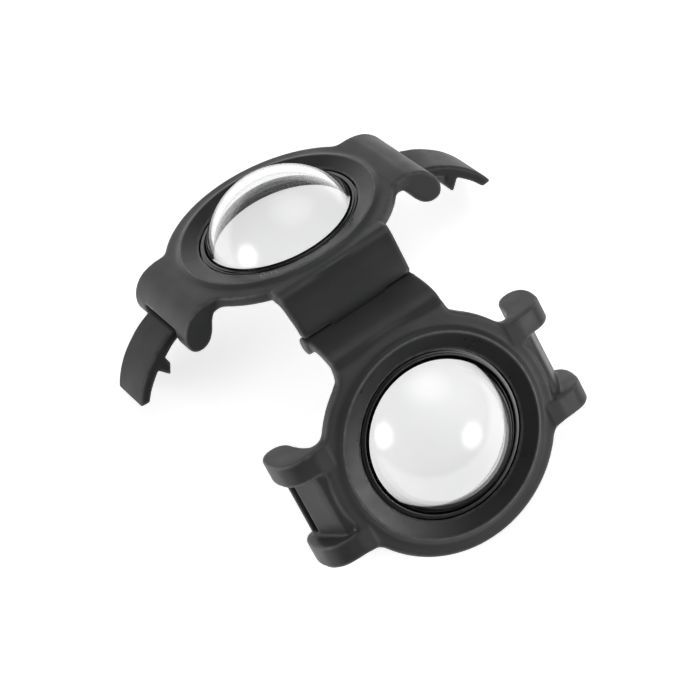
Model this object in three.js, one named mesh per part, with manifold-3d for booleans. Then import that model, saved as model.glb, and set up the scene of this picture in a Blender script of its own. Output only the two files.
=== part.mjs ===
// Folding twin dome lens guard for a slim camera with a lens on each face.
// Two ring frames, each with a clear dome, are joined by a folding bridge with
// a pinned hinge. The rear frame carries two swing-out latch arms; the front
// frame carries the catch bars that they close over.
// Units are millimetres, +Z is up, and the guard stands open like a tent with
// the hinge on top: front frame towards -Y, rear frame towards +Y.
import * as THREE from 'three';
import { mergeVertices } from 'three/addons/utils/BufferGeometryUtils.js';
import Module from 'manifold-3d';

// ---------------------------------------------------------------- dimensions
const SEG = 40;               // facets round every ring
const RIM_R = 17.0;           // crest of the raised rim round the window
const RING_R = 20.2;          // outside of the ring flange
const BORE_R = 13.9;          // window bore
const CONE_DEPTH = 0.7;       // the face falls this far from the rim to the bore
const FLANGE_Q = 0.65;        // front of the flange, behind the rim plane
const BACK_Q = 2.6;           // back of the flange, behind the rim plane
const POCKET_R = 15.2;        // counterbore that takes the dome's foot
const POCKET_Q = 1.2;         // floor of the counterbore
const PAD_IN = 16.2, PAD_OUT = 19.2, PAD_RECESS = 0.5, PAD_PROUD = 0.5;

const DOME_R = 14.1;          // outside of the clear dome
const DOME_T = 1.3;           // wall of the dome
const DOME_CQ = 6.63;         // centre of the dome, behind the rim plane
const DOME_WALL_R = 12.9;     // dome's wall where it enters the bore
const FOOT_R = 14.95, FOOT_Q0 = 1.3, FOOT_Q1 = 1.9;

const HINGE_V = 22.1;         // hinge axis, from the window's centre
const HINGE_Q = 9.8;          // hinge axis, behind the rim plane
const FOLD_OPEN = 102.7;      // angle opened from closed, at the open stop
const TILT_FRONT = 38.26;     // slope of the front frame; the rear one's slope
const TILT_REAR = 180 - FOLD_OPEN - TILT_FRONT; // makes up the rest
const CREASE_DEPTH = 1.7;     // hinge axis below the crease of the bridge
const BRIDGE_T = 2.0;         // thickness of the bridge plates
const BARREL_R = 1.55, BARREL_GAP = 0.28, KNUCKLE_GAP = 0.2;
const KNUCKLE_END = 10.3, KNUCKLE_SPLIT = 5.2;
const PIN_R = 0.6, PIN_HOLE_R = 0.75;

const EAR_IN = 5.9, EAR_OUT = 9.95;   // ears, across the wing
const LATCH_U = 22.2, LATCH_Q = 4.7;  // latch pivot, from the window's centre
const LATCH_BARREL_R = 1.35, LATCH_HALF = 4.7;
const LATCH_PIN_R = 0.7, LATCH_HOLE_R = 0.85;
const SLOT_Q0 = 7.75, SLOT_Q1 = 8.8, SLOT_HALF = 5.15;

// Outlines in the (u, q) plane: u outwards from the centre, q towards the
// camera body.
const FRONT_EAR = [[17.6, 0.7], [21.4, 0.65], [23.8, 1.2], [25.4, 3.0], [26.0, 5.6],
  [26.1, 8.2], [25.7, 10.0], [24.7, 11.2], [23.4, 11.5], [22.1, 11.1], [21.2, 10.0],
  [20.5, 7.0], [19.7, 4.2], [18.9, 3.0], [17.6, 2.6]];
const FRONT_WALL = [[17.6, 0.7], [20.8, 0.65], [21.5, 1.2], [24.0, 8.0], [24.4, 9.1],
  [24.2, 10.1], [24.0, 10.3], [23.2, 10.3], [22.75, 8.0], [20.5, 3.0], [17.6, 2.6]];
const REAR_EAR = [[17.6, 0.7], [21.2, 0.65], [23.2, 1.4], [24.7, 2.9], [25.3, 4.7],
  [25.2, 6.3], [24.4, 7.4], [23.0, 7.75], [21.5, 7.2], [20.3, 5.8], [19.4, 3.9],
  [18.6, 2.9], [17.6, 2.6]];
const REAR_HOOD = [[17.6, 0.7], [21.2, 0.65], [23.1, 1.35], [24.5, 2.75], [25.0, 4.2],
  [24.1, 4.3], [23.75, 3.7], [23.0, 2.75], [21.6, 2.3], [20.2, 2.55], [17.6, 2.6]];
const ARM = [[21.3, 4.0], [22.9, 3.9], [23.5, 4.85], [25.5, 4.85], [28.2, 6.1],
  [30.1, 7.4], [31.9, 8.9], [33.4, 10.6], [34.6, 12.4], [35.4, 14.0], [33.7, 14.15],
  [32.4, 12.3], [31.2, 11.0], [30.1, 9.95], [28.5, 11.85], [27.65, 9.9], [28.05, 8.5],
  [25.5, 6.9], [23.4, 6.2], [21.6, 5.9]];

// ------------------------------------------------------------------- helpers
const wasm = await Module();
wasm.setup();

function toSolid(geometry) {
  const g = geometry.clone();
  g.deleteAttribute('normal');
  g.deleteAttribute('uv');
  const m = mergeVertices(g, 1e-5);
  const pos = m.attributes.position.array, idx = Uint32Array.from(m.index.array);
  let vol = 0;
  for (let i = 0; i < idx.length; i += 3) {
    const [a, b, c] = [idx[i] * 3, idx[i + 1] * 3, idx[i + 2] * 3];
    vol += pos[a] * (pos[b + 1] * pos[c + 2] - pos[b + 2] * pos[c + 1])
         - pos[a + 1] * (pos[b] * pos[c + 2] - pos[b + 2] * pos[c])
         + pos[a + 2] * (pos[b] * pos[c + 1] - pos[b + 1] * pos[c]);
  }
  if (vol < 0) for (let i = 0; i < idx.length; i += 3) [idx[i], idx[i + 1]] = [idx[i + 1], idx[i]];
  return new wasm.Manifold(new wasm.Mesh({ numProp: 3,
    vertProperties: Float32Array.from(pos), triVerts: idx }));
}

function toGeometry(solid) {
  const mesh = solid.getMesh();
  const g = new THREE.BufferGeometry();
  g.setAttribute('position', new THREE.BufferAttribute(Float32Array.from(mesh.vertProperties), 3));
  g.setIndex(new THREE.BufferAttribute(Uint32Array.from(mesh.triVerts), 1));
  g.computeVertexNormals();
  return g;
}

// Turned about Z from (radius, height) points.
function turned(points, segments = SEG) {
  const g = new THREE.LatheGeometry([...points, points[0]].map(p => new THREE.Vector2(p[0], p[1])), segments);
  g.rotateX(Math.PI / 2);
  return toSolid(g);
}

function prism(points, depth) {
  return new THREE.ExtrudeGeometry(new THREE.Shape(points.map(p => new THREE.Vector2(p[0], p[1]))),
    { depth, bevelEnabled: false, steps: 1 });
}

// A (u, q) outline carried along Y from y0 to y1, on the side given by +1 or -1.
function alongY(points, y0, y1, side = 1) {
  const g = prism(points.map(p => [side * p[0], p[1]]), y1 - y0);
  g.rotateX(-Math.PI / 2).scale(1, 1, 1);      // (x, y, z) -> (x, z, -y)
  g.translate(0, y0, 0);
  return toSolid(g);
}

// A (v, w) outline carried along X from x0 to x1.
function alongX(points, x0, x1) {
  const g = prism(points, x1 - x0);
  g.applyMatrix4(new THREE.Matrix4().set(0, 0, 1, x0, 1, 0, 0, 0, 0, 1, 0, 0, 0, 0, 0, 1));
  return toSolid(g);
}

// An (x, y) outline carried along Z.
function alongZ(points, z0, z1) {
  const g = prism(points, z1 - z0);
  g.translate(0, 0, z0);
  return toSolid(g);
}

function rodX(r, x0, x1, y, z, n = 20) {
  const g = new THREE.CylinderGeometry(r, r, x1 - x0, n);
  g.rotateZ(Math.PI / 2).translate((x0 + x1) / 2, y, z);
  return toSolid(g);
}

function rodY(r, y0, y1, x, z, n = 20) {
  const g = new THREE.CylinderGeometry(r, r, y1 - y0, n);
  g.translate(x, (y0 + y1) / 2, z);
  return toSolid(g);
}

const union = list => list.reduce((a, b) => a.add(b));

// -------------------------------------------------------------------- frames
function ringBody() {
  return turned([
    [BORE_R, -CONE_DEPTH], [RIM_R, 0], [RIM_R + 0.4, -0.04], [RIM_R + 0.9, -0.4],
    [RIM_R + 1.6, -FLANGE_Q], [RING_R - 0.6, -FLANGE_Q - 0.05], [RING_R, -FLANGE_Q - 0.5],
    [RING_R, -BACK_Q + 0.6], [RING_R - 0.5, -BACK_Q], [PAD_OUT + 0.1, -BACK_Q], [PAD_OUT + 0.1, -BACK_Q + PAD_RECESS],
    [PAD_IN - 0.1, -BACK_Q + PAD_RECESS], [PAD_IN - 0.1, -BACK_Q], [POCKET_R, -BACK_Q],
    [POCKET_R, -POCKET_Q], [BORE_R, -POCKET_Q]]);
}

// Half of the bridge, with its own knuckles. `mine` and `theirs` are spans in X.
function bridge(mine, theirs) {
  const half = FOLD_OPEN / 2 * Math.PI / 180;
  const dv = Math.cos(half), dw = Math.sin(half);        // from the axis up to the crease
  const out = HINGE_V + CREASE_DEPTH * dv, inn = out - BRIDGE_T;
  const creaseW = -HINGE_Q + CREASE_DEPTH * dw;
  const g = 0.15;                                         // half of the gap to the other plate
  const profile = [
    [17.9, -BACK_Q], [17.9, -FLANGE_Q], [20.2, -FLANGE_Q - 0.05], [21.4, -1.05], [22.3, -1.75],
    [22.9, -2.7], [out - 0.05, -4.0], [out, -5.2], [out, creaseW + g / dv * 0.9],
    [HINGE_V + 0.02, -HINGE_Q + 0.2 / dv], [HINGE_V - 0.1, -HINGE_Q + g], [inn, -HINGE_Q + g],
    [inn, -4.6], [inn - 0.35, -3.6], [20.1, -2.9], [19.4, -BACK_Q]];
  const plan = [[-10.45, 24.5], [-10.45, 20.6], [-10.8, 19.2], [-11.6, 17.8], [-12.8, 16.4], [-12.8, 14],
    [12.8, 14], [12.8, 16.4], [11.6, 17.8], [10.8, 19.2], [10.45, 20.6], [10.45, 24.5]];
  let plate = alongX(profile, -13.6, 13.6).intersect(alongZ(plan, -14, 2));
  for (const [a, b] of theirs)
    plate = plate.subtract(rodX(BARREL_R + BARREL_GAP, a - KNUCKLE_GAP, b + KNUCKLE_GAP, HINGE_V, -HINGE_Q, 24));
  const knuckles = mine.map(([a, b]) => rodX(BARREL_R, a, b, HINGE_V, -HINGE_Q, 24));
  return union([plate, ...knuckles])
    .subtract(rodX(PIN_HOLE_R, -9.6, 9.6 + 2, HINGE_V, -HINGE_Q, 16));
}

function wingPlate(side, reach) {
  // Flat web between the ring and the ears.
  const x0 = 12, x1 = reach;
  return alongZ([[side * x0, -EAR_OUT], [side * x1, -EAR_OUT], [side * x1, EAR_OUT], [side * x0, EAR_OUT]]
    .map(p => p), -BACK_Q, -FLANGE_Q);
}

const coreBore = turned([[0, -BACK_Q - 3], [0, 3], [BORE_R + 0.0, 3], [BORE_R, -POCKET_Q], [POCKET_R, -POCKET_Q],
  [POCKET_R, -BACK_Q - 3]]);
const padGroove = turned([[PAD_IN - 0.1, -BACK_Q - 3], [PAD_IN - 0.1, -BACK_Q + PAD_RECESS],
  [PAD_OUT + 0.1, -BACK_Q + PAD_RECESS], [PAD_OUT + 0.1, -BACK_Q - 3]]);
// Room over the face of the ring, so that the wings never cover it.
const faceClear = turned([[0, -CONE_DEPTH - 0.3], [BORE_R, -CONE_DEPTH - 0.3], [BORE_R, -CONE_DEPTH], [RIM_R, 0],
  [RIM_R + 0.45, -0.05], [RIM_R + 0.45, 4], [0, 4]]);

function frame(kind) {
  const front = kind === 'front';
  const parts = [ringBody()];
  for (const s of [1, -1]) {
    for (const e of [1, -1]) {
      const [a, b] = e > 0 ? [EAR_IN, EAR_OUT] : [-EAR_OUT, -EAR_IN];
      parts.push(alongY(front ? FRONT_EAR : REAR_EAR, a, b, s));
    }
    if (front) {
      let wall = alongY(FRONT_WALL, -EAR_IN - 0.5, EAR_IN + 0.5, s);
      const slot = alongY([[21, SLOT_Q0], [27, SLOT_Q0], [27, SLOT_Q1], [21, SLOT_Q1]], -SLOT_HALF, SLOT_HALF, s);
      parts.push(wall.subtract(slot));
    } else {
      parts.push(alongY(REAR_HOOD, -EAR_IN - 0.5, EAR_IN + 0.5, s));
    }
    parts.push(wingPlate(s, front ? 20.6 : 21.2));
  }
  const outer = [[-KNUCKLE_END, -KNUCKLE_SPLIT], [KNUCKLE_SPLIT, KNUCKLE_END]];
  const middle = [[-KNUCKLE_SPLIT + KNUCKLE_GAP, KNUCKLE_SPLIT - KNUCKLE_GAP]];
  parts.push(front ? bridge(outer, middle) : bridge(middle, outer));
  let body = union(parts).subtract(coreBore).subtract(padGroove).subtract(faceClear);
  if (!front)
    for (const s of [1, -1])
      body = body.subtract(rodY(LATCH_HOLE_R, -EAR_OUT - 1, EAR_OUT - 1.2, s * LATCH_U, -LATCH_Q, 16));
  return body;
}

// ------------------------------------------------------------ windows, rings
function dome() {
  const pts = [], ri = DOME_R - DOME_T;
  const aOut = Math.acos(DOME_WALL_R / DOME_R), n = 7;
  // outside, from the foot up to the crown
  pts.push([FOOT_R, -FOOT_Q1], [FOOT_R, -FOOT_Q0], [DOME_WALL_R, -FOOT_Q0]);
  for (let i = 0; i <= n; i++) {
    const a = aOut + (Math.PI / 2 - aOut) * i / n;
    pts.push([i === n ? 0 : DOME_R * Math.cos(a), -DOME_CQ + DOME_R * Math.sin(a)]);
  }
  // inside, from the crown down to the open foot
  const aIn = Math.asin((DOME_CQ - FOOT_Q1) / ri);
  for (let i = n; i >= 0; i--) {
    const a = aIn + (Math.PI / 2 - aIn) * i / n;
    pts.push([i === n ? 0 : ri * Math.cos(a), -DOME_CQ + ri * Math.sin(a)]);
  }
  return turned(pts);
}
const ring = (ri, ro, q0, q1) => turned([[ri, -q1], [ro, -q1], [ro, -q0], [ri, -q0]]);
const gasket = () => turned([[13.05, -1.2], [13.8, -1.2], [13.8, -0.95], [13.45, -0.95], [13.45, -0.75], [13.05, -0.75]]);
const retainer = () => turned([[12.6, -2.55], [15.05, -2.55], [15.05, -2.0], [12.6, -2.0]]);
const pad = () => ring(PAD_IN, PAD_OUT, BACK_Q - PAD_RECESS + 0.08, BACK_Q + PAD_PROUD);

// --------------------------------------------------------------- latch, pins
function latchArm(side) {
  return union([
    alongY(ARM, -LATCH_HALF, LATCH_HALF, side),
    rodY(LATCH_BARREL_R, -EAR_IN + 0.35, EAR_IN - 0.35, side * LATCH_U, -LATCH_Q, 24)])
    .subtract(rodY(LATCH_HOLE_R, -EAR_IN - 1, EAR_IN + 1, side * LATCH_U, -LATCH_Q, 16));
}
const latchPin = side => rodY(LATCH_PIN_R, -EAR_OUT + 0.6, EAR_OUT - 1.5, side * LATCH_U, -LATCH_Q, 16);
const hingePin = () => rodX(PIN_R, -9.4, 9.9, HINGE_V, -HINGE_Q, 16);

// ------------------------------------------------------------------ assembly
const black = () => new THREE.MeshStandardMaterial({ color: 0x232324, roughness: 0.55, metalness: 0.0 });
const gloss = () => new THREE.MeshStandardMaterial({ color: 0x101011, roughness: 0.25, metalness: 0.0 });
const soft = () => new THREE.MeshStandardMaterial({ color: 0x19191a, roughness: 0.9, metalness: 0.0 });
const clear = () => new THREE.MeshStandardMaterial({ color: 0xe6e8ea, roughness: 0.05, metalness: 0.0, transparent: true, opacity: 0.35 });
const steel = () => new THREE.MeshStandardMaterial({ color: 0x8f9194, roughness: 0.35, metalness: 1.0 });

function named(name, solid, material) {
  const mesh = new THREE.Mesh(toGeometry(solid), material);
  mesh.name = name;
  return mesh;
}

const root = new THREE.Group();

function placed(kind) {
  const deg = Math.PI / 180, front = kind === 'front';
  const turn = new THREE.Group(), tilt = new THREE.Group(), shift = new THREE.Group();
  turn.rotation.z = front ? 0 : Math.PI;
  tilt.rotation.x = (front ? TILT_FRONT : TILT_REAR) * deg;
  shift.position.set(0, -HINGE_V, HINGE_Q);    // hinge axis comes to the origin
  turn.add(tilt); tilt.add(shift); root.add(turn);
  return shift;
}

const front = placed('front'), rear = placed('rear');
front.add(
  named('front_frame', frame('front'), black()),
  named('front_dome', dome(), clear()),
  named('front_gasket', gasket(), gloss()),
  named('front_retainer', retainer(), black()),
  named('front_pad', pad(), soft()),
  named('hinge_pin', hingePin(), steel()));
rear.add(
  named('rear_frame', frame('rear'), black()),
  named('rear_dome', dome(), clear()),
  named('rear_gasket', gasket(), gloss()),
  named('rear_retainer', retainer(), black()),
  named('rear_pad', pad(), soft()),
  named('left_latch_arm', latchArm(1), black()),
  named('right_latch_arm', latchArm(-1), black()),
  named('left_latch_pin', latchPin(1), steel()),
  named('right_latch_pin', latchPin(-1), steel()));

// Origin at the middle of the footprint, on the surface that it stands on.
root.updateMatrixWorld(true);
const box = new THREE.Box3().setFromObject(root, true);
root.position.set(-(box.min.x + box.max.x) / 2, -(box.min.y + box.max.y) / 2, -box.min.z);

export default root;
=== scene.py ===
import math

import bmesh
import bpy
import numpy as np
from mathutils import Matrix, Vector


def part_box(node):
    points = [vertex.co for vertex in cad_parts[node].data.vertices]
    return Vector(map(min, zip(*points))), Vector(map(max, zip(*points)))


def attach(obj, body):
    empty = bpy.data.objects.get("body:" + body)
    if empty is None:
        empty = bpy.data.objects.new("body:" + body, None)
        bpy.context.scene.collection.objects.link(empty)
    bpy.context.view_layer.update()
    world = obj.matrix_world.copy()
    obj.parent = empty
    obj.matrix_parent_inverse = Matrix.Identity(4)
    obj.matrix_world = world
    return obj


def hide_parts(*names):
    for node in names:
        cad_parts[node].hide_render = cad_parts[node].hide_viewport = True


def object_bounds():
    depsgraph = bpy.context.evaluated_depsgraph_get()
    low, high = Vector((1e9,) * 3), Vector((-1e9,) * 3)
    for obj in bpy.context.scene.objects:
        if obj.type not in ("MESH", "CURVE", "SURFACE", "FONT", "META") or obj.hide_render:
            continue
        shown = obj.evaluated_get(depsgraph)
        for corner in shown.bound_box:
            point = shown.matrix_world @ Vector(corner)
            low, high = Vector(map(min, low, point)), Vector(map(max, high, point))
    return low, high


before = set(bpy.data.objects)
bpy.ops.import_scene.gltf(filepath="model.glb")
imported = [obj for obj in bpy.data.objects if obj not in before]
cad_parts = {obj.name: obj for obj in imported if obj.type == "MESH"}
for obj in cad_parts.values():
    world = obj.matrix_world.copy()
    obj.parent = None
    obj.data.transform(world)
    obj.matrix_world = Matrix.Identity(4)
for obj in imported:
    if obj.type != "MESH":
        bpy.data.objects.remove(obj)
cad_lo, cad_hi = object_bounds()

# ------------------------------------------------------------------ placement
# Each ring frame has its own local axes, in millimetres: u along the hinge,
# v from the window's centre towards the hinge, w outwards from the rim plane.
TILT_FRONT = math.radians(38.26)
TILT_REAR = math.radians(39.04)
HINGE_V, HINGE_Q = 22.1, 9.8
pin_lo, pin_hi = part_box("hinge_pin")
HY, HZ = (pin_lo.y + pin_hi.y) / 2, (pin_lo.z + pin_hi.z) / 2


def placement(kind):
    """Turns and translation that take local millimetres to metres in the row frame."""
    t = TILT_FRONT if kind == "front" else TILT_REAR
    c, s = math.cos(t), math.sin(t)
    m = np.array([[1, 0, 0], [0, c, -s], [0, s, c]], float)
    if kind == "rear":
        m = np.array([[-1, 0, 0], [0, -1, 0], [0, 0, 1]], float) @ m
    return m, np.array([0.0, HY, HZ]) - m @ np.array([0.0, HINGE_V, -HINGE_Q]) * 1e-3


PLACE = {k: placement(k) for k in ("front", "rear")}


def to_row(kind, pts):
    m, t = PLACE[kind]
    return np.asarray(pts, float) @ m.T * 1e-3 + t


# ------------------------------------------------------- signed distance tools
def poly(P, X, Y):
    """Signed distance to a closed polygon, negative inside."""
    P = np.asarray(P, float)
    shape = np.broadcast(X, Y).shape
    X = np.broadcast_to(X, shape).astype(np.float32)
    Y = np.broadcast_to(Y, shape).astype(np.float32)
    d = np.full(shape, 1e9, np.float32)
    s = np.ones(shape, np.float32)
    for i in range(len(P)):
        ax, ay = P[i]
        bx, by = P[i - 1]
        ex, ey = bx - ax, by - ay
        if ex * ex + ey * ey < 1e-12:
            continue
        wx, wy = X - np.float32(ax), Y - np.float32(ay)
        t = np.clip((wx * ex + wy * ey) / (ex * ex + ey * ey), 0, 1).astype(np.float32)
        d = np.minimum(d, (wx - ex * t) ** 2 + (wy - ey * t) ** 2)
        c1, c2, c3 = Y >= ay, Y < by, ex * wy > ey * wx
        s = np.where((c1 & c2 & c3) | (~c1 & ~c2 & ~c3), -s, s)
    return s * np.sqrt(d)


def smin(a, b, k):
    h = np.maximum(k - np.abs(a - b), 0) / k
    return np.minimum(a, b) - h * h * (k / 4)


def smax(a, b, k):
    return -smin(-a, -b, k)


def curve(points, corners=(), n=5, closed=True):
    """A smooth outline through the points, sharp only at the listed corners."""
    P = [np.array(p, float) for p in points]
    N = len(P)
    out = []
    for i in range(N if closed else N - 1):
        p1, p2 = P[i], P[(i + 1) % N]
        p0 = P[(i - 1) % N] if i % N not in corners and (closed or i > 0) else p1 * 2 - p2
        p3 = P[(i + 2) % N] if (i + 1) % N not in corners and (closed or i + 2 < N) else p2 * 2 - p1
        l01, l12, l23 = (max(np.linalg.norm(b - a), 1e-6) for a, b in ((p0, p1), (p1, p2), (p2, p3)))
        m1 = ((p2 - p1) / l12 * l01 + (p1 - p0) / l01 * l12) / (l01 + l12) * l12
        m2 = ((p3 - p2) / l23 * l12 + (p2 - p1) / l12 * l23) / (l12 + l23) * l12
        for j in range(n):
            t = j / n
            out.append((2 * t**3 - 3 * t * t + 1) * p1 + (t**3 - 2 * t * t + t) * m1
                       + (3 * t * t - 2 * t**3) * p2 + (t**3 - t * t) * m2)
    if not closed:
        out.append(P[-1])
    return [tuple(p) for p in out]


def blur(F, passes=1):
    """Rounds every edge of a distance grid a little, as a mould does."""
    for _ in range(passes):
        for ax in range(3):
            G = np.pad(F, [(1, 1) if a == ax else (0, 0) for a in range(3)], mode="edge")
            sl = lambda o: tuple(slice(o, o + F.shape[a]) if a == ax else slice(None) for a in range(3))
            F = (G[sl(0)] + 2 * G[sl(1)] + G[sl(2)]) / 4
    return F


def nets(F, origin, h):
    """Surface nets: one vertex in each cell that the surface crosses, one quad at each crossed edge."""
    S = F < 0
    c = np.zeros(tuple(n - 1 for n in F.shape), np.uint8)
    for a in (0, 1):
        for b in (0, 1):
            for d in (0, 1):
                c += S[a:a + c.shape[0], b:b + c.shape[1], d:d + c.shape[2]]
    act = (c > 0) & (c < 8)
    I, J, K = np.nonzero(act)
    idx = np.full(c.shape, -1, np.int64)
    idx[act] = np.arange(len(I))
    acc, num = np.zeros((len(I), 3)), np.zeros(len(I))
    corners = [(a, b, d) for a in (0, 1) for b in (0, 1) for d in (0, 1)]
    for p in corners:
        for ax in range(3):
            if p[ax]:
                continue
            q = list(p); q[ax] = 1
            fa, fb = F[I + p[0], J + p[1], K + p[2]], F[I + q[0], J + q[1], K + q[2]]
            m = (fa < 0) != (fb < 0)
            t = np.where(m, fa / np.where(m, fa - fb, 1), 0)
            pos = np.array(p, float)[None].repeat(len(I), 0)
            pos[:, ax] += t
            acc[m] += pos[m]
            num[m] += 1
    V = (np.stack([I, J, K], 1) + acc / num[:, None]) * h + origin
    quads = []
    for ax in range(3):
        b, d = (ax + 1) % 3, (ax + 2) % 3
        lo = [slice(1, n - 1) for n in F.shape]
        hi = list(lo)
        lo[ax], hi[ax] = slice(0, F.shape[ax] - 1), slice(1, F.shape[ax])
        A, B = S[tuple(lo)], S[tuple(hi)]
        for inside, flip in ((A & ~B, False), (~A & B, True)):
            E = np.stack(np.nonzero(inside), 1)
            E[:, b] += 1
            E[:, d] += 1
            off = []
            for ob, od in ((-1, -1), (0, -1), (0, 0), (-1, 0)):
                T = E.copy()
                T[:, b] += ob
                T[:, d] += od
                off.append(idx[T[:, 0], T[:, 1], T[:, 2]])
            q = np.stack(off, 1)
            quads.append(q[:, ::-1] if flip else q)
    return V, np.concatenate(quads)


def project(f, V, limit, steps=2, e=0.02):
    """Moves points onto the surface of f, each by no more than limit."""
    P = V.copy()
    for _ in range(steps):
        g = np.stack([f(*(P + o).T) - f(*(P - o).T) for o in np.eye(3) * e], 1) / (2 * e)
        n2 = np.maximum((g * g).sum(1), 0.25)
        step = -(f(*P.T) / n2)[:, None] * g
        length = np.linalg.norm(step, axis=1, keepdims=True)
        P += step * np.minimum(1, limit / np.maximum(length, 1e-9))
    return P


# ------------------------------------------------------------- mesh to object
def piece(name, verts, faces, material, body, smooth=True, angle=None):
    me = bpy.data.meshes.new(name)
    me.from_pydata([tuple(v) for v in verts], [], [tuple(int(i) for i in f) for f in faces])
    me.update()
    me.validate()
    if smooth:
        me.shade_smooth()
    if angle is not None:
        me.set_sharp_from_angle(angle=math.radians(angle))
    ob = bpy.data.objects.new(name, me)
    bpy.context.scene.collection.objects.link(ob)
    me.materials.append(material)
    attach(ob, body)
    return ob


def sdf_piece(name, f, lo, hi, h, kind, material, body, passes=1, clip=None):
    ax = [np.arange(a - 3 * h, b + 3.01 * h, h) for a, b in zip(lo, hi)]
    F = f(ax[0][:, None, None], ax[1][None, :, None], ax[2][None, None, :])
    F = blur(np.ascontiguousarray(np.broadcast_to(F, tuple(map(len, ax)))).astype(np.float32), passes)
    V, Q = nets(F, np.array([a[0] for a in ax]), h)
    V = relax(V, Q)
    # The cone inside the rim is a turned face, so its points lie on one cone.
    r = np.hypot(V[:, 0], V[:, 1])
    on = (r > BORE_R + 0.25) & (r < RIM_R - 0.45) & (V[:, 2] > -0.98)
    if on.any():
        line = -CONE + (r - BORE_R) * CONE / (RIM_R - BORE_R)
        V[on, 2] = line[on] - np.median(line[on] - V[on, 2])
    ob = piece(name, to_row(kind, V), Q, material, body)
    edge_wear_and_highlight(ob, Q, h, V)
    return ob


def edge_wear_and_highlight(ob, Q, h, L):
    """Stores how convex the surface is at each vertex, for lighter edges of the plastic that are partly rubbed wear and
    partly painted highlight, with a painted highlight line along the rim crest, and a mask of the cone inside the rim,
    which gets painted shade.
    """
    me = ob.data
    n = len(me.vertices)
    V, N = np.zeros(n * 3, np.float32), np.zeros(n * 3, np.float32)
    me.vertices.foreach_get("co", V)
    me.vertex_normals.foreach_get("vector", N)
    V, N = V.reshape(-1, 3).astype(float) * 1e3, N.reshape(-1, 3)
    E = np.concatenate([Q[:, [0, 1]], Q[:, [1, 2]], Q[:, [2, 3]], Q[:, [3, 0]]])
    cnt = np.bincount(E.ravel(), minlength=n).astype(float)

    def mean(x):
        return (np.bincount(E[:, 0], x[E[:, 1]], n) + np.bincount(E[:, 1], x[E[:, 0]], n)) / cnt

    c = sum((V[:, a] - mean(V[:, a])) * N[:, a] for a in range(3)) / (h * h) * 4
    for _ in range(4):
        c = 0.4 * c + 0.6 * mean(c)
    c = np.clip((c - 0.5) / 1.4, 0, 1)
    # painted highlight: a thin band along the rim crest at r = 17.13 mm is added to the edge mask, which lightens it
    rim = np.exp(-((np.hypot(L[:, 0], L[:, 1]) - 17.13) / 0.15) ** 2) * (L[:, 2] > -0.2)
    c = np.maximum(c, rim)
    at = me.attributes.new("edge", "FLOAT", "POINT")
    at.data.foreach_set("value", c.astype(np.float32))
    rr = np.hypot(L[:, 0], L[:, 1])
    # painted shade mask: marks the cone inside the rim, whose colour the frame material darkens
    cone = np.clip((16.95 - rr) / 0.25, 0, 1) * (L[:, 2] > -1.15)
    at = me.attributes.new("cone", "FLOAT", "POINT")
    at.data.foreach_set("value", cone.astype(np.float32))


def relax(V, Q, weight=0.35):
    """One light pass towards each vertex's neighbours, and one back, against stair steps."""
    E = np.concatenate([Q[:, [0, 1]], Q[:, [1, 2]], Q[:, [2, 3]], Q[:, [3, 0]]])
    n = len(V)
    cnt = np.bincount(E.ravel(), minlength=n).astype(float)
    for k in (weight, -weight * 1.04, weight, -weight * 1.04):
        acc = np.stack([np.bincount(E[:, 0], V[E[:, 1], a], n) + np.bincount(E[:, 1], V[E[:, 0], a], n)
                        for a in range(3)], 1)
        V = V + k * (acc / cnt[:, None] - V)
    return V


def lathe(name, profile, kind, material, body, segments=144, angle=32, centre=(0, 0, 0), axis="w"):
    """A closed (r, w) profile turned about the local w, u or v axis. A point with r = 0 is one pole."""
    verts, rows = [], []
    for r, z in profile:
        if r < 1e-6:
            rows.append([len(verts)] * segments)
            verts.append((0, 0, z))
        else:
            rows.append([len(verts) + i for i in range(segments)])
            verts += [(r * math.cos(2 * math.pi * i / segments), r * math.sin(2 * math.pi * i / segments), z)
                      for i in range(segments)]
    faces = []
    for a in range(len(rows)):
        b = (a + 1) % len(rows)
        if profile[a][0] < 1e-6 and profile[b][0] < 1e-6:
            continue
        for i in range(segments):
            j = (i + 1) % segments
            f = [rows[a][i], rows[a][j], rows[b][j], rows[b][i]]
            f = [x for k, x in enumerate(f) if x != f[k - 1]]
            if len(f) > 2:
                faces.append(f)
    V = np.array(verts, float)
    # signed volume, so that faces point out
    vol = 0.0
    for f in faces:
        for k in range(1, len(f) - 1):
            vol += np.dot(V[f[0]], np.cross(V[f[k]], V[f[k + 1]]))
    if vol < 0:
        faces = [f[::-1] for f in faces]
    if axis == "u":
        V = V[:, [2, 0, 1]]
    elif axis == "v":
        V = V[:, [1, 2, 0]]
    V = V + np.array(centre)
    return piece(name, to_row(kind, V), faces, material, body, angle=angle)


def rounded(profile, r, n=4, keep=()):
    """The closed profile with each corner cut by a small arc."""
    out = []
    N = len(profile)
    for i in range(N):
        p, a, b = (np.array(profile[k], float) for k in (i, i - 1, (i + 1) % N))
        la, lb = np.linalg.norm(a - p), np.linalg.norm(b - p)
        if i in keep or p[0] < 1e-6 or la < 1e-6 or lb < 1e-6:
            out.append(tuple(p))
            continue
        da, db = (a - p) / la, (b - p) / lb
        turn = math.pi - math.acos(max(-1, min(1, float(np.dot(da, db)))))
        if turn < 0.15:
            out.append(tuple(p))
            continue
        t = min(r * math.tan(turn / 2), la * 0.45, lb * 0.45)
        for k in range(n + 1):
            s = k / n
            out.append(tuple((1 - s) ** 2 * (p + da * t) + 2 * s * (1 - s) * p + s * s * (p + db * t)))
    return out


# ------------------------------------------------------------------ materials
def new_material(name):
    m = bpy.data.materials.new(name)
    m.use_nodes = True
    nt = m.node_tree
    nt.nodes.clear()
    out = nt.nodes.new("ShaderNodeOutputMaterial")
    bs = nt.nodes.new("ShaderNodeBsdfPrincipled")
    nt.links.new(bs.outputs[0], out.inputs[0])
    tc = nt.nodes.new("ShaderNodeTexCoord")
    return m, nt, bs, tc


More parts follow.
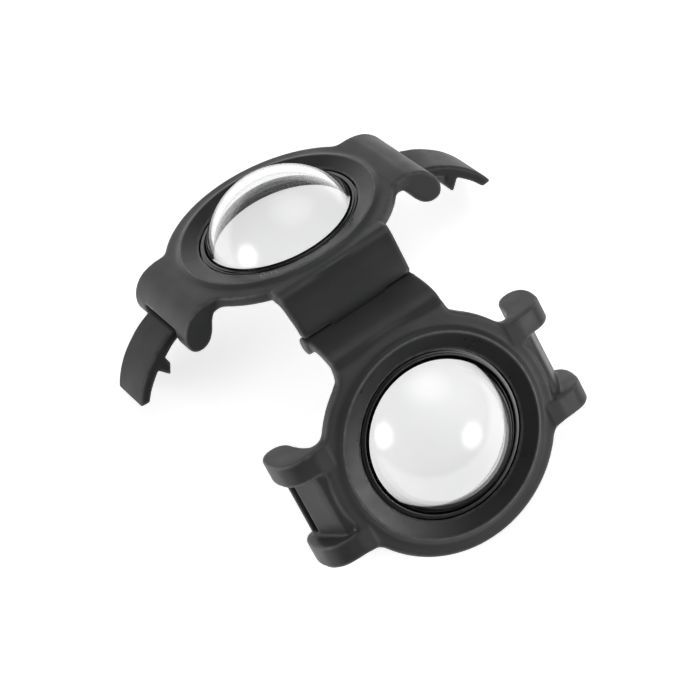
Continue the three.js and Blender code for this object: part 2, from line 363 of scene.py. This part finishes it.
def noise(nt, tc, scale, detail=3.0, rough=0.55):
    n = nt.nodes.new("ShaderNodeTexNoise")
    n.inputs["Scale"].default_value = scale
    n.inputs["Detail"].default_value = detail
    n.inputs["Roughness"].default_value = rough
    nt.links.new(tc.outputs["Object"], n.inputs["Vector"])
    return n


def ramp(nt, src, stops):
    r = nt.nodes.new("ShaderNodeValToRGB")
    el = r.color_ramp.elements
    while len(el) < len(stops):
        el.new(0.5)
    for e, (p, c) in zip(el, stops):
        e.position = p
        e.color = (*c, 1) if len(c) == 3 else c
    nt.links.new(src, r.inputs[0])
    return r


def span(nt, src, lo, hi, a=0.3, b=0.7):
    m = nt.nodes.new("ShaderNodeMapRange")
    m.inputs["From Min"].default_value = a
    m.inputs["From Max"].default_value = b
    m.inputs["To Min"].default_value = lo
    m.inputs["To Max"].default_value = hi
    nt.links.new(src, m.inputs["Value"])
    return m.outputs[0]


def moulded(name, base, rough, grain=0.35, spec=0.5):
    """Black moulded plastic: fine spark-eroded grain, slow tone drift, lighter edges that are partly rubbed wear and
    partly painted highlight, a painted highlight line on the rim crest, and painted shade on the cone inside the rim.
    """
    m, nt, bs, tc = new_material(name)
    drift = noise(nt, tc, 90, 2.0)
    grainy = noise(nt, tc, 5200, 2.0, 0.6)
    cell = nt.nodes.new("ShaderNodeTexVoronoi")
    cell.inputs["Scale"].default_value = 3400
    nt.links.new(tc.outputs["Object"], cell.inputs["Vector"])
    lo, hi = tuple(c * 0.86 for c in base), tuple(c * 1.16 for c in base)
    tone = ramp(nt, drift.outputs[0], [(0.3, lo), (0.7, hi)])
    edge = nt.nodes.new("ShaderNodeAttribute")
    edge.attribute_name = "edge"
    # edge mask times noise: partly rubbed wear, partly painted highlight on convex edges and the rim crest
    wear_and_highlight = nt.nodes.new("ShaderNodeMath")
    wear_and_highlight.operation = "MULTIPLY"
    nt.links.new(edge.outputs["Fac"], wear_and_highlight.inputs[0])
    nt.links.new(span(nt, noise(nt, tc, 700, 3.0).outputs[0], 0.45, 1.0), wear_and_highlight.inputs[1])
    mix = nt.nodes.new("ShaderNodeMix")
    mix.data_type = "RGBA"
    nt.links.new(wear_and_highlight.outputs[0], mix.inputs["Factor"])
    # the cone inside the rim is a smoother face of the mould, with painted shade: its colour is darkened to 0.42 of the
    # base
    cone = nt.nodes.new("ShaderNodeAttribute")
    cone.attribute_name = "cone"
    face = nt.nodes.new("ShaderNodeMix")
    face.data_type = "RGBA"
    nt.links.new(cone.outputs["Fac"], face.inputs["Factor"])
    nt.links.new(tone.outputs[0], face.inputs[6])
    face.inputs[7].default_value = (*(c * 0.42 for c in base), 1)
    nt.links.new(face.outputs[2], mix.inputs[6])
    # the lit edge colour, five times the base: partly wear, partly painted highlight
    mix.inputs[7].default_value = (*(c * 5.0 for c in base), 1)
    nt.links.new(mix.outputs[2], bs.inputs["Base Color"])
    less = nt.nodes.new("ShaderNodeMath")
    less.operation = "MULTIPLY_ADD"
    nt.links.new(cone.outputs["Fac"], less.inputs[0])
    less.inputs[1].default_value = -0.11
    nt.links.new(span(nt, noise(nt, tc, 260, 3.0).outputs[0], rough - 0.05, rough + 0.06), less.inputs[2])
    nt.links.new(less.outputs[0], bs.inputs["Roughness"])
    bs.inputs["Specular IOR Level"].default_value = spec
    add = nt.nodes.new("ShaderNodeMath")
    add.operation = "ADD"
    nt.links.new(grainy.outputs[0], add.inputs[0])
    nt.links.new(cell.outputs[0], add.inputs[1])
    bump = nt.nodes.new("ShaderNodeBump")
    bump.inputs["Strength"].default_value = grain
    bump.inputs["Distance"].default_value = 0.00002
    nt.links.new(add.outputs[0], bump.inputs["Height"])
    nt.links.new(bump.outputs[0], bs.inputs["Normal"])
    return m


def rubber(name, base, rough, spec, scale):
    m, nt, bs, tc = new_material(name)
    tone = ramp(nt, noise(nt, tc, scale, 3.0).outputs[0],
                [(0.3, tuple(c * 0.8 for c in base)), (0.7, tuple(c * 1.25 for c in base))])
    nt.links.new(tone.outputs[0], bs.inputs["Base Color"])
    nt.links.new(span(nt, noise(nt, tc, scale * 2, 2.0).outputs[0], rough - 0.05, rough + 0.05), bs.inputs["Roughness"])
    bs.inputs["Specular IOR Level"].default_value = spec
    bump = nt.nodes.new("ShaderNodeBump")
    bump.inputs["Strength"].default_value = 0.25
    bump.inputs["Distance"].default_value = 0.00002
    nt.links.new(noise(nt, tc, scale * 6, 2.0).outputs[0], bump.inputs["Height"])
    nt.links.new(bump.outputs[0], bs.inputs["Normal"])
    return m


def clear_plastic(name):
    """Hard-coated clear acrylic: faint haze and tint that vary over the dome."""
    m, nt, bs, tc = new_material(name)
    tint = ramp(nt, noise(nt, tc, 120, 2.0).outputs[0], [(0.3, (0.85, 0.852, 0.857)), (0.7, (0.89, 0.891, 0.894))])
    nt.links.new(tint.outputs[0], bs.inputs["Base Color"])
    nt.links.new(span(nt, noise(nt, tc, 400, 4.0).outputs[0], 0.015, 0.05), bs.inputs["Roughness"])
    bs.inputs["IOR"].default_value = 1.49
    bs.inputs["Transmission Weight"].default_value = 1.0
    return m


def steel(name):
    m, nt, bs, tc = new_material(name)
    tone = ramp(nt, noise(nt, tc, 2500, 3.0).outputs[0], [(0.3, (0.34, 0.345, 0.35)), (0.7, (0.5, 0.505, 0.51))])
    nt.links.new(tone.outputs[0], bs.inputs["Base Color"])
    bs.inputs["Metallic"].default_value = 1.0
    nt.links.new(span(nt, noise(nt, tc, 4000, 3.0).outputs[0], 0.25, 0.42), bs.inputs["Roughness"])
    return m


BLACK = moulded("frame_plastic_black", (0.0290, 0.0293, 0.0300), 0.42, 0.26, 0.34)
BLACK_ARM = moulded("frame_plastic_latch", (0.0170, 0.0172, 0.0177), 0.46, 0.35, 0.24)
RETAINER = moulded("frame_plastic_retainer", (0.0100, 0.0102, 0.0105), 0.5, 0.25, 0.3)
GASKET = rubber("gasket_rubber_gloss", (0.006, 0.006, 0.0065), 0.18, 0.6, 500)
BORDER = rubber("dome_clear_black_border", (0.004, 0.004, 0.0042), 0.12, 0.5, 300)
PAD = rubber("pad_rubber_matte", (0.012, 0.012, 0.0125), 0.82, 0.3, 900)
CLEAR = clear_plastic("dome_clear_acrylic")
STEEL = steel("pin_steel_ground")

# -------------------------------------------------------------- ring outlines
RIM_R, RING_R, BORE_R, CONE = 17.0, 20.2, 13.9, 0.7
FLANGE_Q, BACK_Q, POCKET_R, POCKET_Q = 0.65, 2.6, 15.2, 1.2
PAD_IN, PAD_OUT = 16.2, 19.2
EAR_IN, EAR_OUT = 5.9, 9.95
LATCH_U, LATCH_Q, LATCH_HALF = 22.2, 4.7, 4.7
KNUCKLE_SPLIT, KNUCKLE_END, BARREL_R = 5.2, 10.3, 1.55

RIM = [(BORE_R, -CONE), (16.84, -0.01), (16.98, 0.06), (17.22, 0.06), (17.36, -0.06), (17.85, -0.52), (18.25, -0.68),
       (18.8, -0.8), (18.8, -2.4), (BORE_R, -2.4)]
CORE = [(-1, -8), (-1, 3), (BORE_R, 3), (BORE_R, -POCKET_Q), (POCKET_R, -POCKET_Q), (POCKET_R, -8)]
GROOVE = [(16.1, -8), (16.1, -2.1), (19.3, -2.1), (19.3, -8)]
FACE = [(-1, -CONE - 0.3), (BORE_R, -CONE - 0.3), (BORE_R, -CONE), (RIM_R, 0), (17.45, -0.05), (17.45, 4), (-1, 4)]

FRONT_EAR = curve([(17.6, .7), (21.4, .65), (23.8, 1.2), (25.4, 3), (26, 5.6), (26.1, 8.2), (25.7, 10), (24.7, 11.2),
                   (23.4, 11.5), (22.1, 11.1), (21.2, 10), (20.5, 7), (19.7, 4.2), (18.9, 3), (17.6, 2.6)],
                  corners=(0, 14))
FRONT_WALL = [(17.6, 1.6), (20.35, 1.45), (21.15, 1.7), (21.7, 2.6), (24, 8), (24.4, 9.1), (24.2, 10.1), (24, 10.3), (23.2, 10.3),
              (22.75, 8), (20.5, 3), (17.6, 2.6)]
REAR_EAR = curve([(17.6, .7), (20.7, .68), (22.7, 1.4), (24.3, 2.9), (25.1, 4.7), (25.1, 6.3), (24.4, 7.4), (23, 7.75),
                  (21.5, 7.2), (20.3, 5.8), (19.4, 3.9), (18.6, 2.9), (17.6, 2.6)], corners=(0, 12))
REAR_HOOD = [(17.6, .7), (21.2, .65), (23.1, 1.35), (24.5, 2.75), (25, 4.2), (24.1, 4.3), (23.75, 3.7), (23, 2.75),
             (21.6, 2.3), (20.2, 2.55), (17.6, 2.6)]
ARM = curve([(21.3, 4), (22.9, 3.9), (23.5, 4.85), (25.5, 4.85), (28.2, 6.1), (30.1, 7.4), (31.9, 8.9), (33.4, 10.6),
             (34.6, 12.4), (35.4, 14), (33.7, 14.15), (32.4, 12.3), (31.2, 11), (30.1, 9.95), (28.5, 11.85),
             (27.65, 9.9), (28.05, 8.5), (25.5, 6.9), (23.4, 6.2), (21.6, 5.9)],
            corners=(0, 1, 2, 3, 9, 10, 13, 14, 15, 16, 19), n=4)


def cyl(a, b, ca, cb, r):
    return np.sqrt((a - ca) ** 2 + (b - cb) ** 2) - r


def frame_field(kind):
    front = kind == "front"
    mine, theirs = ([(-KNUCKLE_END, -KNUCKLE_SPLIT), (KNUCKLE_SPLIT, KNUCKLE_END)],
                    [(-KNUCKLE_SPLIT + 0.1, KNUCKLE_SPLIT - 0.1)])
    if not front:
        mine, theirs = theirs, mine
    dv, dw = math.cos(math.radians(51.35)), math.sin(math.radians(51.35))
    out = HINGE_V + 1.7 * dv
    crease = -HINGE_Q + 1.7 * dw
    skin = ([(19.5, -.78), (20.6, -1.2), (21.4, -2.1), (22.05, -3.4), (out - .6, -5.0), (out - .2, -6.8)] if front
            else [(19.7, -.8), (20.35, -1.2), (20.95, -2.2), (21.6, -3.7), (22.25, -5.3), (out - .38, -6.9)])
    inner = ([(out - 2, -5.6), (out - 2.45, -4.4), (20.0, -3.4), (19.2, -2.6)] if front
             else [(out - 2, -7.2), (20.3, -5.0), (19.6, -3.6), (18.8, -2.6)])
    top = curve([(17.6, -2.6), (17.6, -.75)] + skin + [(out, crease + 0.1), (HINGE_V + .02, -HINGE_Q + .2),
                 (HINGE_V - .1, -HINGE_Q + .1), (out - 2, -HINGE_Q + .1)] + inner,
                corners=(0, 1, 8, 9, 10, 11, 15), n=3)
    flare = ([(10.5, 25.5), (10.5, 20.5), (10.5, 18.87), (10.68, 17.84), (11.1, 17.06), (11.75, 16.43), (12.0, 15.5),
              (12.0, 12)] if front
             else [(10.45, 25.5), (10.45, 22.6), (10.9, 19.6), (11.0, 17.3), (11.0, 12)])
    plan = curve([(-x, y) for x, y in flare] + flare[::-1],
                 corners=(0, len(flare) - 2, len(flare) - 1, len(flare), len(flare) + 1, 2 * len(flare) - 1), n=3)
    left_end = 10.9
    if front:
        mine = [(-left_end, -KNUCKLE_SPLIT), (KNUCKLE_SPLIT, KNUCKLE_END)]
    else:
        theirs = [(-KNUCKLE_END - .3, -KNUCKLE_SPLIT), (KNUCKLE_SPLIT, left_end + .1)]
    reach = 20.5

    def f(u, v, w):
        q = -w
        r = np.sqrt(u * u + v * v)
        U = np.abs(u)
        Vv = np.abs(v)
        wing = smax(U - reach, Vv - EAR_OUT, 1.8)
        if front:  # the ring's edge stays free between the ears
            wing = smax(wing, 5.8 - Vv, .5)
        flat = smin(smin(r - RING_R, wing, 1.5), smax(poly(plan, u, v), v - 19.2, .3), .3)
        d = smax(flat, np.abs(q - (FLANGE_Q + BACK_Q) / 2) - (BACK_Q - FLANGE_Q) / 2, .5)
        d = smin(d, poly(RIM, r, w), .22)
        ear = poly(FRONT_EAR if front else REAR_EAR, U, q)
        slab = np.abs(Vv - (EAR_IN + EAR_OUT) / 2) - (EAR_OUT - EAR_IN) / 2
        if front:
            d = smin(d, smax(ear, slab, .3), .4)
            wall = smax(poly(FRONT_WALL, U, q), Vv - EAR_IN - .5, .2)
            d = smin(d, wall, .5)
            slot = np.maximum(np.maximum(21 - U, U - 27), np.maximum(np.abs(q - 8.275) - .525, Vv - 5.15))
            d = smax(d, -slot, .25)
        else:
            # Ears and hood share one outer skin; the hood is hollow under it.
            side = smax(ear, Vv - EAR_OUT, .3)
            under = smax(smin(ear + 1.25, 4.3 - q, .3), np.maximum(Vv - EAR_IN, np.maximum(2.2 - q, 20.4 - U)), .25)
            d = smin(d, smax(side, -under, .25), .4)
        plate = smax(poly(top, v, w), poly(plan, u, v), .6)
        for a, b in theirs:
            cut = np.maximum(cyl(v, w, HINGE_V, -HINGE_Q, BARREL_R + .14), np.maximum(a - .1 - u, u - b - .1))
            plate = smax(plate, -cut, .2)
        for a, b in mine:
            knuckle = smax(cyl(v, w, HINGE_V, -HINGE_Q, BARREL_R), np.maximum(a - u, u - b), .3)
            plate = smin(plate, knuckle, .6)
        d = smin(d, plate, .35)
        d = smax(d, -np.maximum(cyl(v, w, HINGE_V, -HINGE_Q, .75), np.maximum(-9.6 - u, u - 11.6)), .2)
        d = smax(d, -poly(CORE, r, w), .25)
        d = smax(d, -poly(GROOVE, r, w), .2)
        d = smax(d, -poly(FACE, r, w), .25)
        if not front:
            hole = np.maximum(cyl(U, q, LATCH_U, LATCH_Q, .85), np.maximum(v - (EAR_OUT - 1.2), -v - EAR_OUT - 1))
            d = smax(d, -hole, .2)
        return d

    return f


def arm_field(side):
    def f(u, v, w):
        q = -w
        U = u * side
        d = smax(poly(ARM, U, q), np.abs(v) - LATCH_HALF, .55)
        barrel = smax(cyl(U, q, LATCH_U, LATCH_Q, 1.35), np.abs(v) - (EAR_IN - .35), .25)
        d = smin(d, barrel, .6)
        return smax(d, -cyl(U, q, LATCH_U, LATCH_Q, .85), .2)
    return f


H = 0.212
for kind in ("front", "rear"):
    deep = 11.6 if kind == "front" else 11.4
    ob = sdf_piece(kind + "_frame_moulding", frame_field(kind), (-26.2, -20.4, -deep), (26.2, 23.4, 0.1), H,
                   kind, BLACK, kind)
    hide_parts(kind + "_frame")
for side, name in ((1, "left"), (-1, "right")):
    lo, hi = ((20.6, -5.6, -14.3), (35.5, 5.6, -3.2))
    if side < 0:
        lo, hi = (-hi[0], lo[1], lo[2]), (-lo[0], hi[1], hi[2])
    ob = sdf_piece(name + "_latch_blade", arm_field(side), lo, hi, H * 0.8, "rear", BLACK_ARM, name + "_latch")
    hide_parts(name + "_latch_arm")

# --------------------------------------------------------------------- domes
DOME_R, DOME_T, DOME_CQ, DOME_WALL = 14.1, 1.3, 6.63, 12.9
FOOT_R, FOOT_Q0, FOOT_Q1 = 14.95, 1.3, 1.9


def dome_profile():
    ri = DOME_R - DOME_T
    a0, a1 = math.acos(DOME_WALL / DOME_R), math.asin((DOME_CQ - FOOT_Q1) / ri)
    pts = [(FOOT_R - .1, -FOOT_Q1), (FOOT_R, -FOOT_Q1 + .1), (FOOT_R, -FOOT_Q0 - .1), (FOOT_R - .1, -FOOT_Q0),
           (DOME_WALL + .12, -FOOT_Q0), (DOME_WALL + .03, -FOOT_Q0 + .04)]
    n = 40
    for i in range(1, n + 1):
        a = a0 + (math.pi / 2 - a0) * i / n
        pts.append((0 if i == n else DOME_R * math.cos(a), -DOME_CQ + DOME_R * math.sin(a)))
    for i in range(n, -1, -1):
        a = a1 + (math.pi / 2 - a1) * i / n
        pts.append((0 if i == n else ri * math.cos(a), -DOME_CQ + ri * math.sin(a)))
    return pts


def blacken(ob, kind):
    """The foot and the lowest part of the wall get a black glossy material."""
    m, t = PLACE[kind]
    ob.data.materials.append(BORDER)
    for p in ob.data.polygons:
        u, v, w = m.T @ (np.array(p.center) - t) * 1e3
        r, h = math.hypot(u, v), w + DOME_CQ
        a = math.degrees(math.atan2(h, r))
        outer = math.hypot(r, h) > DOME_R - DOME_T / 2
        if a < (BORDER_OUT if outer else BORDER_IN):
            p.material_index = 1


BORDER_OUT, BORDER_IN = 25.2, 23.6
GASKET_P = [(13.05, -1.2), (13.8, -1.2), (13.8, -.95), (13.45, -.95), (13.45, -.75), (13.05, -.75)]
RETAINER_P = [(12.6, -2.55), (15.05, -2.55), (15.05, -2.0), (12.6, -2.0)]
PAD_P = [(PAD_IN, -3.1), (PAD_OUT, -3.1), (PAD_OUT, -2.18), (PAD_IN, -2.18)]
for kind in ("front", "rear"):
    ob = lathe(kind + "_dome_window", dome_profile(), kind, CLEAR, kind, segments=192)
    blacken(ob, kind)
    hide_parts(kind + "_dome")
    ob = lathe(kind + "_seal_ring", rounded(GASKET_P, .07), kind, GASKET, kind, segments=192)
    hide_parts(kind + "_gasket")
    ob = lathe(kind + "_retaining_ring", rounded(RETAINER_P, .12), kind, RETAINER, kind)
    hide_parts(kind + "_retainer")
    ob = lathe(kind + "_seat_pad", rounded(PAD_P, .3), kind, PAD, kind)
    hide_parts(kind + "_pad")

# ---------------------------------------------------------------------- pins
PIN_END = 0.15


def pin_profile(r, a, b):
    c = PIN_END
    return [(0, a), (r - c, a), (r, a + c), (r, (a + b) / 2), (r, b - c), (r - c, b), (0, b)]


ob = lathe("hinge_pin_rod", pin_profile(.6, -9.4, 9.9), "front", STEEL, "front", segments=40, angle=30,
           centre=(0, HINGE_V, -HINGE_Q), axis="u")
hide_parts("hinge_pin")
for side, name in ((1, "left"), (-1, "right")):
    ob = lathe(name + "_latch_pin_rod", pin_profile(.7, -EAR_OUT + .6, EAR_OUT - 1.5), "rear", STEEL, "rear",
               segments=40, angle=30, centre=(side * LATCH_U, 0, -LATCH_Q), axis="v")
    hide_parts(name + "_latch_pin")

# ------------------------------------------------------- floor, light, camera
m, nt, bs, tc = new_material("floor_white")
tone = ramp(nt, noise(nt, tc, 3, 2.0).outputs[0], [(0.3, (0.86, 0.86, 0.86)), (0.7, (0.9, 0.9, 0.9))])
nt.links.new(tone.outputs[0], bs.inputs["Base Color"])
bs.inputs["Roughness"].default_value = 0.9
bs.inputs["Specular IOR Level"].default_value = 0.1
bs.inputs["Emission Color"].default_value = (1, 1, 1, 1)
bs.inputs["Emission Strength"].default_value = 0.70
bm = bmesh.new()
bmesh.ops.create_grid(bm, x_segments=8, y_segments=8, size=3.0)
me = bpy.data.meshes.new("floor")
bm.to_mesh(me)
bm.free()
floor = bpy.data.objects.new("floor", me)
floor.location = (0, 0, cad_lo.z - 0.0003)
me.materials.append(m)
bpy.context.scene.collection.objects.link(floor)

world = bpy.data.worlds.new("studio")
bpy.context.scene.world = world
world.use_nodes = True
world.node_tree.nodes["Background"].inputs[0].default_value = (1, 1, 1, 1)
world.node_tree.nodes["Background"].inputs[1].default_value = 0.22


def area(name, where, size, power, target=(0, 0, 0.012), size_y=None):
    li = bpy.data.lights.new(name, "AREA")
    li.shape = "RECTANGLE"
    li.size, li.size_y = size, size_y or size
    li.energy = power
    li.use_nodes = True
    nt = li.node_tree
    em = next(n for n in nt.nodes if n.type == "EMISSION")
    geo = nt.nodes.new("ShaderNodeNewGeometry")
    away = nt.nodes.new("ShaderNodeVectorMath")
    away.operation = "DISTANCE"
    away.inputs[1].default_value = (0.5, 0.5, 0)
    nt.links.new(geo.outputs["Parametric"], away.inputs[0])
    soft = nt.nodes.new("ShaderNodeMapRange")
    soft.interpolation_type = "SMOOTHSTEP"
    soft.inputs["From Min"].default_value, soft.inputs["From Max"].default_value = 0.08, 0.5
    soft.inputs["To Min"].default_value, soft.inputs["To Max"].default_value = 2.6, 0.0
    nt.links.new(away.outputs["Value"], soft.inputs["Value"])
    nt.links.new(soft.outputs[0], em.inputs["Strength"])
    ob = bpy.data.objects.new(name, li)
    ob.location = where
    ob.rotation_mode = "QUATERNION"
    ob.rotation_quaternion = (Vector(target) - Vector(where)).to_track_quat("-Z", "Y")
    bpy.context.scene.collection.objects.link(ob)
    return ob


# The camera's own axes in the row frame: right, down and forward.
RIGHT = Vector((0.81428444, -0.58001428, 0.02289715))
DOWN = Vector((-0.53344808, -0.76329663, -0.36443298))
FORWARD = Vector((0.22885365, 0.28453767, -0.93094808))
area("key_top", tuple(-DOWN * 0.55 - FORWARD * 0.35), 0.95, 1.7)
area("fill_left", tuple(-RIGHT * 0.55 - FORWARD * 0.30 + DOWN * 0.1), 0.46, 2.0)
area("fill_right", tuple(RIGHT * 0.55 - FORWARD * 0.30 + DOWN * 0.1), 0.46, 1.7)

cam_data = bpy.data.cameras.new("camera")
cam = bpy.data.objects.new("camera", cam_data)
bpy.context.scene.collection.objects.link(cam)
DIST = 0.5094
cam.matrix_world = Matrix((
    (RIGHT.x, -DOWN.x, -FORWARD.x, 0),
    (RIGHT.y, -DOWN.y, -FORWARD.y, 0),
    (RIGHT.z, -DOWN.z, -FORWARD.z, 0),
    (0, 0, 0, 1)))
cam.location = Vector((0, 0, 0.014)) - FORWARD * DIST
cam_data.sensor_width = 36
cam_data.lens = 6158.8 * DIST * 36 / 700
cam_data.shift_x = -8.887 / 700
cam_data.shift_y = -21.993 / 700
cam_data.clip_start, cam_data.clip_end = 0.01, 20
bpy.context.scene.camera = cam
bpy.context.scene.view_settings.view_transform = "Standard"
bpy.context.scene.view_settings.look = "None"
